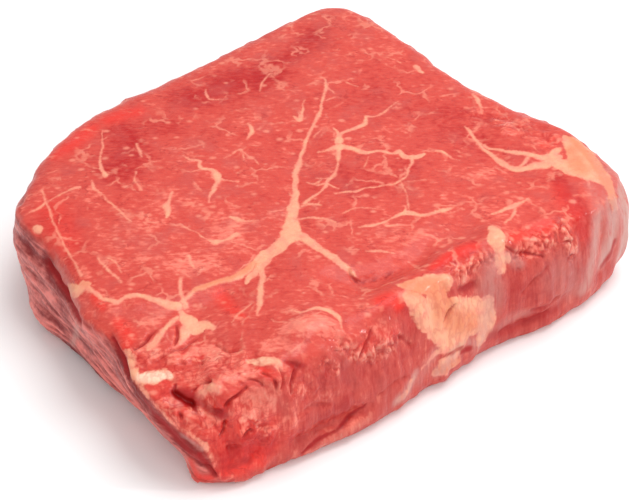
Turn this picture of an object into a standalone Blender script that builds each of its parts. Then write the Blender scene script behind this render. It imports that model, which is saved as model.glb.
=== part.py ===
"""A raw rump steak: one thick slab of beef, cut across the grain, lying on its flat underside.

The slab is lofted from two outlines, the foot that it rests on and the rim of its upper cut face. The loft is
turned into an even skin, which then gets the relief of the real cut: the seams between its muscles, the torn
front corner with its slit, the fold along the foot of the front wall and the long ripples of the left wall.
Metres, +Z up, +X along the slab. The origin is on the resting face, under the middle of the bounding box.
"""

import bmesh
import bpy
import numpy as np
from mathutils import Vector, noise
from mathutils.bvhtree import BVHTree

MM = 0.001

# The slab
PLATEAU = 34.0  # mm, height of the middle of the upper face
RIM_FALL = 3.0  # the higher, the nearer to the rim the upper face starts to fall away
AROUND = 160  # points of each ring of the loft
SKIN_STEP = 1.7  # mm, side of the squares of the skin that takes the relief
SKIN_ROUNDING = 4  # passes that soften the skin's edges
RESTING_CUT = 0.5  # mm, what the flat resting face takes off the skin's bottom
TRIANGLES = 9000  # what the finished skin is thinned out to
LEAN_MEAT = (0.60, 0.075, 0.06, 1.0)
WET = 0.32  # roughness of fresh meat

# The outline, anticlockwise from the front left corner. Each station holds the foot's x and y, and the rim's
# x, y and z, in mm. The left wall leans out over its foot, and the front left corner slopes.
STATIONS = (
    (-69.3, -35.0, -77.6, -20.0, 23.5),
    (-62.0, -40.0, -66.5, -30.0, 28.0),
    (-50.0, -42.6, -53.5, -37.0, 31.0),
    (-38.0, -45.3, -40.0, -39.0, 33.0),
    (-26.0, -47.8, -26.0, -40.5, 33.0),
    (-12.0, -48.0, -12.0, -42.0, 33.0),
    (2.0, -49.3, 2.0, -43.0, 33.0),
    (12.0, -49.4, 12.0, -44.0, 33.0),
    (21.0, -51.0, 22.0, -45.5, 33.5),
    (32.0, -54.0, 33.0, -48.5, 32.0),
    (46.0, -55.0, 46.0, -50.5, 31.5),
    (59.0, -54.0, 59.0, -50.8, 31.5),
    (67.6, -49.0, 69.2, -48.5, 31.5),
    (71.0, -36.5, 73.0, -36.5, 32.0),
    (72.5, -21.0, 74.2, -21.0, 32.5),
    (70.5, -1.0, 70.9, -1.0, 32.5),
    (70.3, 16.0, 71.0, 14.5, 32.5),
    (71.8, 35.0, 73.2, 34.0, 32.5),
    (72.0, 53.0, 75.0, 53.0, 32.5),
    (67.0, 64.0, 72.2, 66.3, 32.5),
    (55.0, 67.5, 58.0, 69.5, 32.5),
    (36.0, 69.5, 36.0, 71.0, 32.5),
    (8.0, 72.0, 7.0, 73.0, 32.5),
    (-14.0, 74.0, -14.0, 75.3, 32.5),
    (-32.0, 71.0, -32.0, 72.0, 32.5),
    (-47.5, 63.5, -47.4, 64.0, 32.0),
    (-56.5, 53.5, -59.2, 56.3, 31.5),
    (-62.7, 42.5, -60.8, 40.0, 31.0),
    (-63.8, 22.0, -67.0, 20.0, 29.5),
    (-65.5, 4.0, -71.5, 2.0, 28.0),
    (-65.0, -13.0, -77.0, -10.0, 25.0),
)

# The wall between foot and rim: share of the height, and how far it stands out from the straight line, in mm.
WALL_PROFILE = (
    (0.00, -1.8),
    (0.06, 0.0),
    (0.20, 1.4),
    (0.50, 2.2),
    (0.75, 1.9),
    (0.90, 1.0),
    (1.00, -1.2),
)
# Rings of the upper face, as shares of the way from the middle to the rim, and of the underside.
TOP_RINGS = (0.95, 0.88, 0.75, 0.5, 0.25)
UNDERSIDE_RINGS = (0.75, 0.4)

# Cuts and swellings of the skin: half width, height (below zero it cuts in) and the line that each follows, in mm.
RELIEF = (
    # the open slit in the torn front corner, and the short nick beside it
    (3.2, -5.0, ((-73.5, -20.5, 26.5), (-71.0, -26.5, 25.0), (-67.5, -32.0, 22.0))),
    (2.8, -2.5, ((-73.8, -26.0, 21.5), (-73.0, -28.5, 20.0))),
    # the valley between the middle muscle and the strip along the front wall, and that strip's back
    (7.0, -2.2, ((-20.0, -20.0, 34.0), (-16.0, -30.0, 34.0), (-8.0, -33.5, 34.0), (6.0, -34.0, 34.0))),
    (7.0, -1.2, ((-4.0, -34.0, 34.0), (14.0, -34.5, 34.0), (26.0, -33.0, 34.0))),
    (8.0, 1.1, ((-22.0, -39.0, 33.0), (0.0, -41.0, 33.0), (20.0, -42.5, 33.0))),
    # the fat knob on the front rim, and the smooth swelling left of the valley
    (5.0, 1.8, ((25.5, -38.0, 33.5), (22.5, -45.5, 31.5))),
    (8.0, 1.3, ((-37.0, -29.0, 33.5), (-31.0, -36.0, 32.5))),
    # the fold along the foot of the front wall, and the lip below it
    (3.4, -3.2, ((-53.0, -43.0, 9.0), (-45.0, -44.5, 8.0), (-36.0, -46.5, 8.5), (-26.0, -48.0, 10.0))),
    (3.0, 1.2, ((-48.0, -43.5, 3.5), (-36.0, -46.0, 3.5), (-24.0, -48.5, 4.0))),
    # the hollow where the front wall goes in, and the cord of sinew and fat running down it
    (6.0, -1.2, ((10.0, -47.0, 27.0), (15.0, -49.0, 12.0))),
    (4.0, 1.1, ((2.0, -46.5, 30.0), (8.0, -50.0, 17.0), (10.0, -50.5, 6.0))),
    # the hollow under the right stretch of the front wall
    (5.0, -1.8, ((20.0, -51.5, 6.0), (32.0, -54.5, 7.5), (46.0, -56.0, 7.5))),
    # lumps of the torn corner
    (6.0, 1.6, ((-66.5, -25.5, 29.0), (-61.0, -30.0, 30.0))),
    (5.0, 1.5, ((-55.5, -38.5, 29.5), (-50.5, -38.5, 31.0))),
    (5.0, 1.4, ((-66.0, -36.0, 14.0), (-60.0, -39.5, 16.0))),
    (4.5, -1.6, ((-63.5, -34.5, 22.0), (-62.5, -38.0, 14.0), (-60.0, -40.0, 9.0))),
    # shallow valleys along the thick seams of the upper face
    (7.0, -0.7, ((20.0, 24.0, 34.0), (0.0, 9.0, 34.0), (-12.0, -2.0, 34.0), (-26.0, -5.0, 34.0))),
    (6.0, -0.8, ((-20.0, -4.0, 34.0), (-40.0, -9.0, 33.0), (-54.0, -3.0, 32.0), (-66.0, 10.0, 31.0))),
    (5.0, -1.0, ((-50.0, -4.0, 32.0), (-57.0, -13.0, 31.0), (-67.0, -17.0, 30.0))),
    (5.0, -0.9, ((54.0, -7.0, 34.0), (48.5, -18.0, 34.0), (49.0, -28.0, 33.0), (60.0, -33.0, 32.0))),
)

# The tab of meat that sticks out at the foot of the front left corner: its own outline on the ground, and height.
TAB = ((-73.8, -31.8), (-75.2, -29.6), (-73.4, -26.0), (-66.0, -24.0), (-62.0, -33.0), (-68.5, -34.5))
TAB_HEIGHT = 6.5

# Unevenness: size of the bumps and their height, in mm
SWELLS = (26.0, 0.7)
CRAGS = (5.5, 2.2)
CRAG_PLACES = (  # middle in mm, and how far the crags reach
    ((-68.0, -28.0, 20.0), 20.0),
    ((-60.0, -20.0, 31.0), 12.0),
    ((28.0, -47.0, 29.0), 9.0),
    ((47.0, -48.0, 28.0), 9.0),
)
RIPPLES = (34.0, 4.2, 1.1)  # length and width of the left wall's ripples, and their height
FLUTES = (3.6, 30.0, 0.7)  # width and length of the front wall's upright flutes, and their depth


def curve_point(p0, p1, p2, p3, t):
    """The point at t, from 0 to 1, on the smooth curve between p1 and p2."""
    bend = 2 * p0 - 5 * p1 + 4 * p2 - p3
    twist = 3 * p1 - p0 - 3 * p2 + p3
    return 0.5 * (2 * p1 + (p2 - p0) * t + bend * t**2 + twist * t**3)


def closed_curve(points, count):
    """count points shared out along a smooth closed curve through the given ones."""
    size = len(points)
    found = []
    for step in range(count):
        first, t = divmod(step * size / count, 1.0)
        found.append(curve_point(*(points[(int(first) + k) % size] for k in (-1, 0, 1, 2)), t))
    return found


def open_curve(points, count):
    """count points shared out along a smooth curve from the first given point to the last."""
    last = len(points) - 1
    found = []
    for step in range(count):
        first = min(int(step * last / (count - 1)), last - 1)
        t = step * last / (count - 1) - first
        found.append(curve_point(*(points[min(max(first + k, 0), last)] for k in (-1, 0, 1, 2)), t))
    return found


def loft_rings():
    """The slab's rings, from the underside's middle up the wall and in over the upper face."""
    feet = closed_curve([Vector((s[0], s[1], 0.0)) * MM for s in STATIONS], AROUND)
    rims = closed_curve([Vector(s[2:5]) * MM for s in STATIONS], AROUND)
    middle = sum(feet, Vector()) / AROUND
    outward = []
    for i in range(AROUND):
        along = feet[(i + 1) % AROUND] - feet[i - 1]
        outward.append(Vector((along.y, -along.x, 0.0)).normalized())
    rings = [[middle.lerp(foot, share) for foot in feet] for share in reversed(UNDERSIDE_RINGS)]
    for share, stand_out in WALL_PROFILE:
        rings.append([f.lerp(r, share) + o * stand_out * MM for f, r, o in zip(feet, rims, outward)])
    edge = rings[-1]
    top = Vector((middle.x, middle.y, PLATEAU * MM))
    for share in TOP_RINGS:
        ring = [top.lerp(point, share) for point in edge]
        for point, rim in zip(ring, edge):
            point.z = top.z - (top.z - rim.z) * share**RIM_FALL
        rings.append(ring)
    return rings, middle, top


def add_lofted_body(shape, rings, bottom, top):
    """A closed skin over the rings, with a fan of triangles at each end."""
    hoops = [[shape.verts.new(place) for place in ring] for ring in rings]
    for lower, upper in zip(hoops, hoops[1:]):
        for i in range(len(lower)):
            shape.faces.new((lower[i - 1], lower[i], upper[i], upper[i - 1]))
    for hoop, tip, step in ((hoops[0], bottom, -1), (hoops[-1], top, 1)):
        middle = shape.verts.new(tip)
        ends = hoop[::step]
        for i in range(len(ends)):
            shape.faces.new((ends[i - 1], ends[i], middle))


def add_tab(shape):
    """The tab's own closed body, rounded above, which overlaps the slab's foot."""
    outline = closed_curve([Vector((x, y, 0.0)) * MM for x, y in TAB], 24)
    middle = sum(outline, Vector()) / len(outline)
    rings = []
    for height, share in ((0.0, 0.9), (0.2, 1.0), (0.6, 1.0), (0.9, 0.85)):
        rise = Vector((0.0, 0.0, height * TAB_HEIGHT * MM))
        rings.append([middle.lerp(point, share) + rise for point in outline])
    add_lofted_body(shape, rings, middle, middle + Vector((0.0, 0.0, TAB_HEIGHT * MM)))


def applied(steak):
    """Gives the object the mesh that its modifiers make, and removes them."""
    graph = bpy.context.evaluated_depsgraph_get()
    mesh = bpy.data.meshes.new_from_object(steak.evaluated_get(graph))
    steak.modifiers.clear()
    steak.data = mesh
    mesh.name = steak.name


def place_by_line(points, line):
    """How far each point is from a polyline in mm, and how far along the line it lies, from 0 to 1."""
    nearest = np.full(len(points), np.inf)
    along_line = np.zeros(len(points))
    for i, (start, end) in enumerate(zip(line, line[1:])):
        along = end - start
        share = np.clip((points - start) @ along / (along @ along), 0.0, 1.0)
        distance = np.linalg.norm(points - start - share[:, None] * along, axis=1)
        along_line = np.where(distance < nearest, (i + share) / (len(line) - 1), along_line)
        nearest = np.minimum(nearest, distance)
    return nearest, along_line


def falloff(distance, reach):
    """1 at no distance, smoothly down to 0 at the reach."""
    return np.clip(1.0 - (distance / reach) ** 2, 0.0, 1.0) ** 2


def relief_heights(shape):
    """How far each vertex moves along its normal, in mm."""
    places = np.array([v.co for v in shape.verts]) / MM
    normals = np.array([v.normal for v in shape.verts])
    skin = BVHTree.FromBMesh(shape)
    heights = np.zeros(len(places))
    for half_width, height, line in RELIEF:
        on_skin = [skin.find_nearest(point)[0] / MM for point in open_curve([Vector(p) * MM for p in line], 16)]
        distance, along = place_by_line(places, np.array(on_skin))
        taper = np.sqrt(np.clip(4.0 * along * (1.0 - along), 0.0, 1.0))
        heights += height * taper * falloff(distance, half_width * (0.5 + 0.5 * taper))
    size, height = SWELLS
    heights += height * np.array([noise.noise(Vector(p) / size) for p in places])
    craggy = sum(falloff(np.linalg.norm(places - middle, axis=1), reach) for middle, reach in CRAG_PLACES)
    size, height = CRAGS
    rough = np.array([noise.noise(Vector(p) / size) + 0.5 * noise.noise(Vector(p) / size * 2.1) for p in places])
    heights += height * np.minimum(craggy, 1.0) * rough
    length, width, height = RIPPLES
    ripple = np.array([noise.noise(Vector((x / width, y / length, z / width))) for x, y, z in places])
    heights += height * np.clip(-normals[:, 0] * 1.4 - 0.3, 0.0, 1.0) * ripple
    width, length, height = FLUTES
    flute = np.array([noise.noise(Vector((x / width, y / length, z / length))) for x, y, z in places])
    return heights + height * np.clip(-normals[:, 1] * 1.4 - 0.3, 0.0, 1.0) * flute


def shape_relief(steak):
    """Moves the skin along its normals, with the underside kept flat."""
    shape = bmesh.new()
    shape.from_mesh(steak.data)
    for _ in range(SKIN_ROUNDING):
        bmesh.ops.smooth_vert(
            shape, verts=shape.verts, factor=0.5, use_axis_x=True, use_axis_y=True, use_axis_z=True
        )
    shape.normal_update()
    resting = min(v.co.z for v in shape.verts) + RESTING_CUT * MM
    for vertex, height in zip(shape.verts, relief_heights(shape)):
        if vertex.normal.z > -0.7:
            vertex.co += vertex.normal * float(height) * MM
        vertex.co.z = max(vertex.co.z - resting, 0.0)
    shape.to_mesh(steak.data)
    shape.free()


def main():
    for obj in list(bpy.data.objects):
        bpy.data.objects.remove(obj)
    shape = bmesh.new()
    add_lofted_body(shape, *loft_rings())
    add_tab(shape)
    mesh = bpy.data.meshes.new("steak")
    shape.to_mesh(mesh)
    shape.free()
    steak = bpy.data.objects.new("steak", mesh)
    bpy.context.scene.collection.objects.link(steak)

    even_skin = steak.modifiers.new("Even skin", "REMESH")
    even_skin.mode = "VOXEL"
    even_skin.voxel_size = SKIN_STEP * MM
    applied(steak)
    shape_relief(steak)

    steak.modifiers.new("Triangles", "TRIANGULATE")
    applied(steak)
    thinned = steak.modifiers.new("Thinned", "DECIMATE")
    thinned.ratio = TRIANGLES / len(steak.data.polygons)
    applied(steak)

    corners = [v.co for v in steak.data.vertices]
    middle_x = (min(c.x for c in corners) + max(c.x for c in corners)) / 2
    middle_y = (min(c.y for c in corners) + max(c.y for c in corners)) / 2
    for vertex in steak.data.vertices:
        vertex.co -= Vector((middle_x, middle_y, 0.0))

    beef = bpy.data.materials.new("Raw beef")
    beef.use_nodes = True
    looks = beef.node_tree.nodes["Principled BSDF"].inputs
    looks["Base Color"].default_value = LEAN_MEAT
    looks["Roughness"].default_value = WET
    looks["Metallic"].default_value = 0.0
    steak.data.materials.append(beef)
    steak.data.shade_smooth()


main()
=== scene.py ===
"""A raw rump steak, thick cut, lying on a pale table in soft studio light.

The steak is one piece of meat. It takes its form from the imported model, and gets its fine surface here:
the strands of fat, the torn corner, the folds and flutes of the walls, the silverskin, and the wet red lean.
"""

import math

import bmesh
import bpy
import numpy as np
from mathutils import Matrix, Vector, noise


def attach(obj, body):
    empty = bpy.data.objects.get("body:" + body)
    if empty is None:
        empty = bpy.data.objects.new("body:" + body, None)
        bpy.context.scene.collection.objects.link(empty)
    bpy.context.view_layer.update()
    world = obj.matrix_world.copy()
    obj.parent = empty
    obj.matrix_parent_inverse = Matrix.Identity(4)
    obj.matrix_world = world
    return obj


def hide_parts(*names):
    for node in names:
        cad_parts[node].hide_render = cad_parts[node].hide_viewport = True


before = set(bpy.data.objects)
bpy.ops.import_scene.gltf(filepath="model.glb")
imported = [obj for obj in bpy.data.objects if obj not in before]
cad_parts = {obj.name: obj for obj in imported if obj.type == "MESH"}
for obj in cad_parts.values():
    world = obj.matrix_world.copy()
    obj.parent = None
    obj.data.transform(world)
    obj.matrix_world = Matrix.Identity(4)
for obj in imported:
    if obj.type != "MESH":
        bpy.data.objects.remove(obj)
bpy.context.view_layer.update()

# The slab. One thick slice of rump, sawn and cut across the muscles, so that its upper face shows their ends
# and its walls their sides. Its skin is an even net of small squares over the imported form, rounded a little.
MM = 0.001
SAME_POINT = 0.01  # mm, vertices that are this near are one
SKIN_STEP = 1.4  # mm
SKIN_ROUNDING = 4


def applied(obj):
    """Gives the object the mesh that its modifiers make, and removes them."""
    mesh = bpy.data.meshes.new_from_object(obj.evaluated_get(bpy.context.evaluated_depsgraph_get()))
    obj.modifiers.clear()
    obj.data = mesh


rough_form = bmesh.new()
rough_form.from_mesh(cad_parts["steak"].data)
bmesh.ops.remove_doubles(rough_form, verts=rough_form.verts, dist=SAME_POINT * MM)
beef = bpy.data.objects.new("rump_slab", bpy.data.meshes.new("rump_slab"))
rough_form.to_mesh(beef.data)
rough_form.free()
bpy.context.scene.collection.objects.link(beef)
even_skin = beef.modifiers.new("Even skin", "REMESH")
even_skin.mode = "VOXEL"
even_skin.voxel_size = SKIN_STEP * MM
applied(beef)

skin = bmesh.new()
skin.from_mesh(beef.data)
all_axes = {"use_axis_x": True, "use_axis_y": True, "use_axis_z": True}
for _ in range(SKIN_ROUNDING):
    bmesh.ops.smooth_vert(skin, verts=skin.verts, factor=0.5, **all_axes)


def places_of(shape):
    """The vertices' places in mm, one row each."""
    return np.array([v.co for v in shape.verts]) / MM


def rough(places, size, stretch=(1.0, 1.0, 1.0), other=0.0):
    """Soft random bumps from -1 to 1, of that size in mm, longer along the axes that are stretched."""
    scaled = places / (size * np.array(stretch)) + other
    return np.array([noise.noise(Vector(p)) for p in scaled])


def along_curve(points, between=5):
    """The given points and more between them, on a smooth curve through them all."""
    points = [np.array(p, float) for p in points]
    chain = [points[0], *points, points[-1]]
    found = []
    for p0, p1, p2, p3 in zip(chain, chain[1:], chain[2:], chain[3:]):
        for t in np.arange(between) / between:
            bend = 2 * p0 - 5 * p1 + 4 * p2 - p3
            twist = 3 * p1 - p0 - 3 * p2 + p3
            found.append(0.5 * (2 * p1 + (p2 - p0) * t + bend * t**2 + twist * t**3))
    return np.array([*found, points[-1]])


def by_stroke(places, stroke, reach):
    """Which places are near a brush stroke, how far off its middle each is, and the stroke's width there.

    A stroke is a row of points in mm, each with the half width of the stroke there as its last number.
    """
    line = along_curve(stroke)
    middle, widths = line[:, :-1], line[:, -1]
    spots = places[:, : middle.shape[1]]
    low, high = middle.min(axis=0) - reach, middle.max(axis=0) + reach
    near = np.flatnonzero(((spots > low) & (spots < high)).all(axis=1))
    spots = spots[near]
    distance = np.full(len(near), np.inf)
    width = np.zeros(len(near))
    for start, end, begin_width, end_width in zip(middle, middle[1:], widths, widths[1:]):
        leg = end - start
        part = np.clip((spots - start) @ leg / (leg @ leg + 1e-9), 0.0, 1.0)
        from_leg = np.linalg.norm(spots - start - part[:, None] * leg, axis=1)
        closer = from_leg < distance
        width[closer] = (begin_width + part * (end_width - begin_width))[closer]
        distance[closer] = from_leg[closer]
    return near, distance, width


def falloff(distance, reach):
    """1 at no distance, smoothly down to 0 at the reach."""
    return np.clip(1.0 - (distance / reach) ** 2, 0.0, 1.0) ** 2


def painted(places, strokes):
    """The strongest of some soft brush strokes at each place, each given as its strength and its points."""
    found = np.zeros(len(places))
    for strength, *stroke in strokes:
        near, distance, width = by_stroke(places, stroke, max(point[-1] for point in stroke))
        found[near] = np.maximum(found[near], strength * falloff(distance, np.maximum(width, 0.01)))
    return found


# The fat. Hard cream-coloured fat lies in seams between the muscles, branching into ever thinner strands, and
# in thick patches at the front rim, the right corner and down the front wall. It is cut flush with the lean.
# Strands on the upper face: points in plan in mm, each with the strand's half width there.
STRANDS = (
    ((42, 29.5, 0.2), (41.5, 27, 0.35), (35.5, 22, 0.4), (30, 18, 0.5), (17.5, 11, 0.55), (5, 2.5, 0.7)),
    ((5, 2.5, 0.7), (-1, -3.5, 1), (-6.5, -8, 1.4), (-11, -12, 1.9)),
    ((-9.5, -10.5, 1.5), (-12, -14, 2.3), (-13, -17, 1.6)),
    ((-13.5, -14, 2.1), (-17, -15.5, 1.9), (-22, -16, 1.7), (-26.5, -17, 1.5)),
    ((-26.5, -17, 1.2), (-31, -18, 1), (-34, -19, 0.5)),
    ((-18, -14.5, 0.9), (-23, -14.5, 0.8), (-28, -15.5, 0.7)),
    ((-26, -16.5, 1), (-32, -22.5, 0.7), (-36.5, -26.5, 0.6), (-40.5, -30, 0.35)),
    ((-12, -15.5, 1.6), (-12.5, -19.5, 1.4), (-12.5, -24.5, 1.1), (-12.5, -29.5, 1.2), (-12.5, -33.5, 0.9)),
    ((-12.5, -33.5, 0.9), (-12.5, -37.5, 0.4)),
    ((-28, -15.5, 1), (-33.5, -16, 1.2), (-37.5, -14.5, 0.9), (-41.5, -13, 1), (-45, -11.5, 0.7)),
    ((-45, -11.5, 0.7), (-50.5, -11.5, 0.4)),
    ((-45, -6, 0.3), (-47, -7.5, 0.6), (-49, -10.5, 0.6), (-50.5, -13, 0.8)),
    ((-63, 13, 0.9), (-63, 7.5, 0.7), (-63, 4.5, 0.6), (-62, 1, 0.7), (-59.5, 0, 0.6), (-57, -1.5, 0.8)),
    ((-57, -1.5, 0.8), (-55, -5, 0.8), (-53.5, -9, 1), (-52, -12, 1.3)),
    ((16.5, 5.5, 0.2), (18.5, 4, 0.4), (20.5, 3.5, 0.8), (22, 2.5, 1.5)),
    ((27, 10, 0.3), (26, 7, 0.5), (24, 4, 0.8)),
    ((23.5, 4.5, 0.8), (27, 6.5, 0.6), (30, 6, 0.7), (33.5, 5.5, 0.8), (36, 6, 0.55), (38, 7.5, 0.45)),
    ((38, 7.5, 0.45), (40.5, 5.5, 0.35), (46, 6, 0.2), (50, 6, 0.1)),
    ((22.5, 2.5, 1.5), (24, -0.5, 0.9), (25, -4.5, 0.8), (28.5, -6.5, 0.45), (30, -9.5, 0.6),
     (32.5, -10, 0.6)),
    ((32.5, -10, 0.6), (32, -13.5, 1.1), (34, -15.5, 1.2), (37, -16, 0.4)),
    ((39, -17, 0.2), (41, -18.5, 0.5), (40.5, -22, 0.3), (42, -24.5, 0.15)),
    ((33, -15, 0.7), (29, -17.5, 0.35), (25, -19.5, 0.3), (22.5, -19.5, 0.35), (19, -18, 0.2),
     (15, -16, 0.35)),
    ((15, -16, 0.35), (10.5, -13.5, 0.4), (6.5, -11, 0.35)),
    ((23, -20.5, 0.2), (19.5, -25.5, 0.15), (15.5, -29.5, 0.2)),
    ((22, 3, 0.9), (18, -1, 0.45), (13.5, -4.5, 0.35), (9.5, -5.5, 0.5), (5.5, -7.5, 0.4),
     (1.5, -7.5, 0.5)),
    ((1.5, -7.5, 0.5), (-1.5, -7.5, 0.6)),
    ((6, -5, 0.25), (8, -6.5, 0.4), (9, -10, 0.25)),
    ((5, -2, 0.15), (6, -4, 0.35), (8.5, -4, 0.15)),
    ((-3, -7.5, 0.3), (-1, -9, 0.5), (0.5, -11.5, 0.3)),
    ((8, -2.5, 0.15), (9.5, -4.5, 0.3), (11.5, -5, 0.15)),
    ((-7.5, -11, 0.3), (-5, -14, 0.45), (-3, -17, 0.3), (-1.5, -20, 0.2)),
    ((24, -6.5, 0.15), (20.5, -9, 0.2)),
    ((2.5, -18.5, 0.2), (6.5, -19.5, 0.25), (10.5, -24, 0.15)),
    ((63, 23.5, 0.15), (64, 19, 0.2)),
    ((35, 20.5, 0.15), (38, 19.5, 0.2)),
    ((45, 22.5, 0.2), (46.5, 19.5, 0.2)),
    ((1, -25.5, 0.25), (4, -27.5, 0.5), (7, -28.5, 0.4), (11, -29.5, 0.4), (14, -30, 0.9), (16, -34, 0.6)),
    ((16, -34, 0.6), (20, -35.5, 0.5), (22.5, -36.5, 0.6), (25.5, -37, 0.25)),
    ((14, -30, 0.5), (16, -28, 0.2)),
    ((7, -30, 0.45), (9, -32, 0.35)),
    ((-4.5, -33.5, 0.25), (-2, -36, 0.45), (0.5, -39, 0.25)),
    ((66, 15, 0.75), (65, 12, 0.7)),
    ((31, -46.5, 0.25), (35, -47, 0.6), (38, -48, 0.7), (42.5, -48.5, 0.25)),
    ((30.5, -51, 0.2), (35, -50, 0.35), (37.5, -48.5, 0.3)),
    ((54.5, -15, 0.25), (53.5, -18, 0.5), (52.5, -21, 0.45), (51, -24.5, 0.6), (50.5, -28.5, 0.8),
     (50, -33, 1)),
    ((50, -33, 1), (50.5, -37, 0.9), (54.5, -40, 1.1), (58.5, -42, 1.4), (62.5, -42, 1.3)),
    ((52, -24, 0.6), (53, -28, 0.5), (55, -32, 0.7), (57.5, -36.5, 0.9), (59.5, -40, 1.1),
     (64.5, -40, 1.2)),
    ((52, -37.5, 0.4), (56, -37, 0.5)),
    ((68, -5.5, 0.3), (66.5, -8.5, 0.7), (65, -11.5, 0.3)),
    ((-18, 56, 0.15), (-22.5, 50.5, 0.25), (-27, 46.5, 0.3), (-30, 42.5, 0.5), (-31.5, 39, 0.8)),
    ((15, 49, 0.2), (12.5, 45.5, 0.35), (13, 44, 0.3), (15.5, 42, 0.15)),
    ((25, 37, 0.2), (29.5, 40, 0.25), (33, 41.5, 0.15)),
    ((23, 21.5, 0.2), (23.5, 19.5, 0.8), (27.5, 22.5, 0.25), (30.5, 24.5, 0.1)),
    ((-10.5, 30.5, 0.2), (-10.5, 28, 0.3), (-9.5, 25.5, 0.5), (-10.5, 23, 0.5), (-9.5, 20, 0.7),
     (-10, 17.5, 1.2)),
    ((-10, 17.5, 1.2), (-12.5, 15, 0.5), (-15, 13.5, 0.6), (-17, 12.5, 0.45), (-19.5, 11, 0.2)),
    ((-10.5, 16.5, 0.5), (-9, 13.5, 0.15), (-7.5, 11.5, 0.4)),
    ((0.5, 18, 0.2), (2, 20, 0.25), (2, 21.5, 0.3), (-0.5, 21.5, 0.2), (-3.5, 21.5, 0.15)),
    ((2, 20.5, 0.25), (2, 17, 0.2), (1.5, 13.5, 0.15)),
    ((12, 28, 0.3), (10.5, 25, 0.7), (7, 23.5, 0.2)),
    ((-15.5, 44, 0.25), (-17, 41.5, 0.35), (-19, 38, 0.2)),
    ((-24.5, 34.5, 0.2), (-27.5, 31, 0.2), (-29, 27.5, 0.35)),
    ((-35.5, 40, 0.2), (-37, 37.5, 0.4), (-37.5, 34.5, 0.3), (-38, 30.5, 0.25), (-38.5, 26, 0.25)),
    ((-38.5, 26, 0.25), (-39, 22, 0.3), (-39, 19.5, 0.15)),
    ((-55.5, 43.5, 0.25), (-52, 42.5, 0.4), (-48.5, 42.5, 0.25), (-45, 42, 0.2), (-42, 41.5, 0.4)),
    ((-42, 41.5, 0.4), (-39.5, 40.5, 0.5)),
    ((-23.5, 21, 0.3), (-26.5, 19, 0.35), (-28.5, 17.5, 1.1), (-30, 15.5, 0.6), (-31.5, 14.5, 0.2)),
    ((-19.5, 2.5, 0.4), (-19, 0.5, 0.7), (-18, -1.5, 0.3), (-15.5, -4, 0.25)),
    ((-30.5, 8.5, 0.25), (-30, 4.5, 0.2), (-30, 0.5, 0.3), (-29.5, -2, 0.8), (-26.5, -3.5, 0.4),
     (-23, -4, 0.8)),
    ((-38, -1, 0.5), (-39, -3, 0.4), (-40, -5.5, 0.2)),
    ((-47, 47.5, 0.2), (-50.5, 40.5, 0.3), (-54, 34, 0.2), (-57, 26.5, 0.3), (-59.5, 20, 0.2),
     (-61, 15, 0.35)),
    ((-54.5, 16, 0.2), (-55.5, 11.5, 0.35), (-56, 8, 0.3), (-56.5, 4.5, 0.15)),
    ((-52.5, 14, 0.15), (-52.5, 10.5, 0.3), (-54, 7.5, 0.15)),
    ((-34, -36, 0.35), (-33, -39.5, 0.4), (-29.5, -40.5, 0.8), (-28, -43, 0.9), (-27.5, -46, 0.6),
     (-29.5, -49, 0.3)),
    ((-38.5, -26, 0.1), (-43, -26, 0.25), (-46.5, -26.5, 0.15)),
)
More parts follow.
